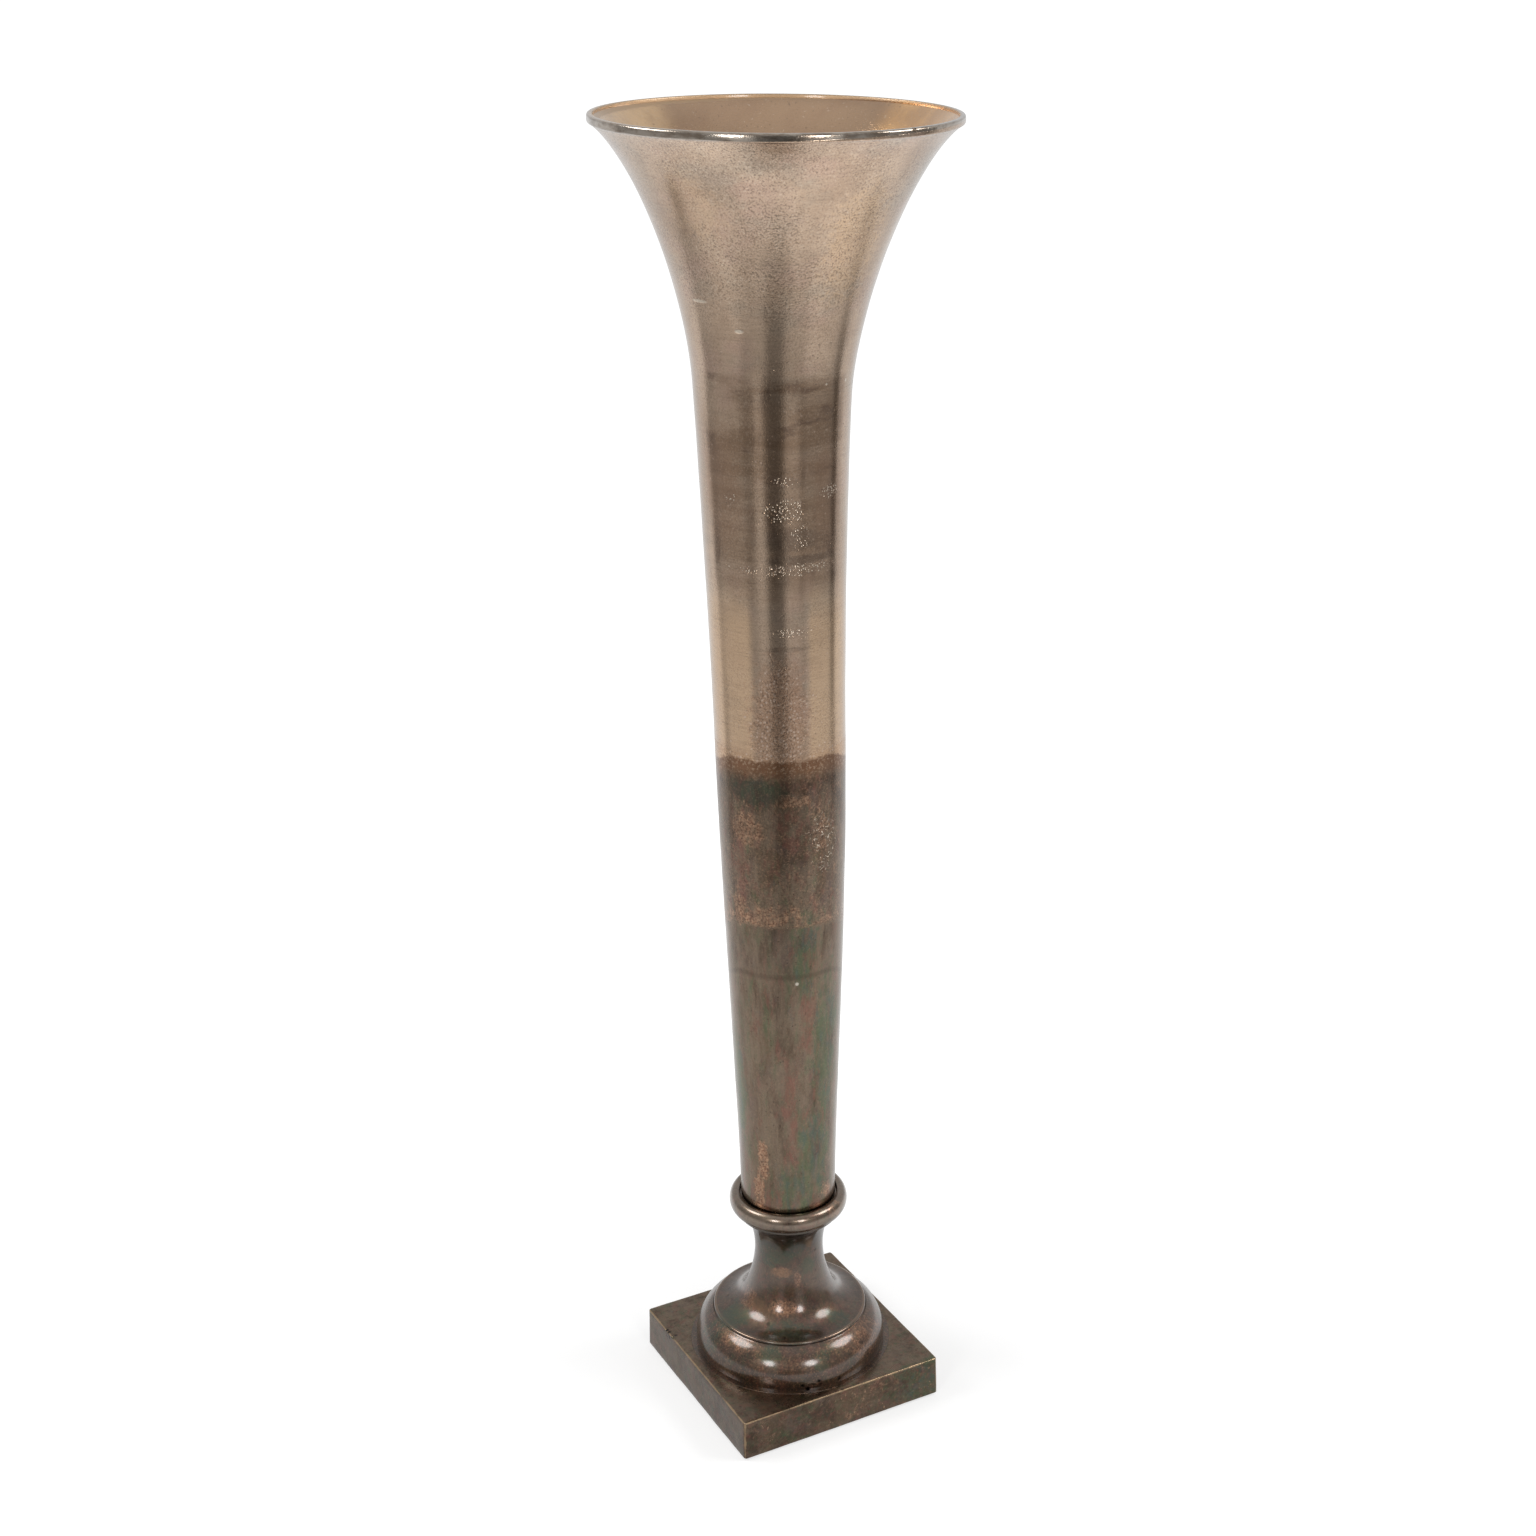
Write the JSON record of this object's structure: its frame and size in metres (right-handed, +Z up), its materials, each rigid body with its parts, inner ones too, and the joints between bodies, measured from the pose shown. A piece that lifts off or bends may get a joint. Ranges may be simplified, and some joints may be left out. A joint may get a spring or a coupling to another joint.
{
  "type": "flute-shaped floor vase",
  "caption": "Tall trumpet-mouthed floor vase of cast metal on a square plinth, pale champagne above and dark bronze patina below, with a polished rim.",
  "frame": {"origin": "on the floor, under the middle of the square plinth", "axes": "+Z up along the axis of the vase, X and Y square to the plinth's sides, -Y towards the front"},
  "size_m": [0.302, 0.302, 1.2],
  "materials": {
    "champagne_metal": "satin",
    "patinated_bronze": "satin",
    "zinc_steel": "satin",
    "black_rubber": "matte",
    "grey_felt": "matte"
  },
  "bodies": {
    "root": {"plinth": "patinated_bronze", "foot": "patinated_bronze", "collar_ring": "patinated_bronze", "lower_trunk": "patinated_bronze", "upper_shaft": "champagne_metal", "trumpet_bell": "champagne_metal", "tie_rod": "zinc_steel", "floor_seal": "black_rubber", "floor_washer": "zinc_steel", "top_nut": "zinc_steel", "base_washer": "zinc_steel", "spring_washer": "zinc_steel", "base_nut": "zinc_steel", "pad_front_left": "grey_felt", "pad_front_right": "grey_felt", "pad_rear_left": "grey_felt", "pad_rear_right": "grey_felt"}
  },
  "joints": []
}
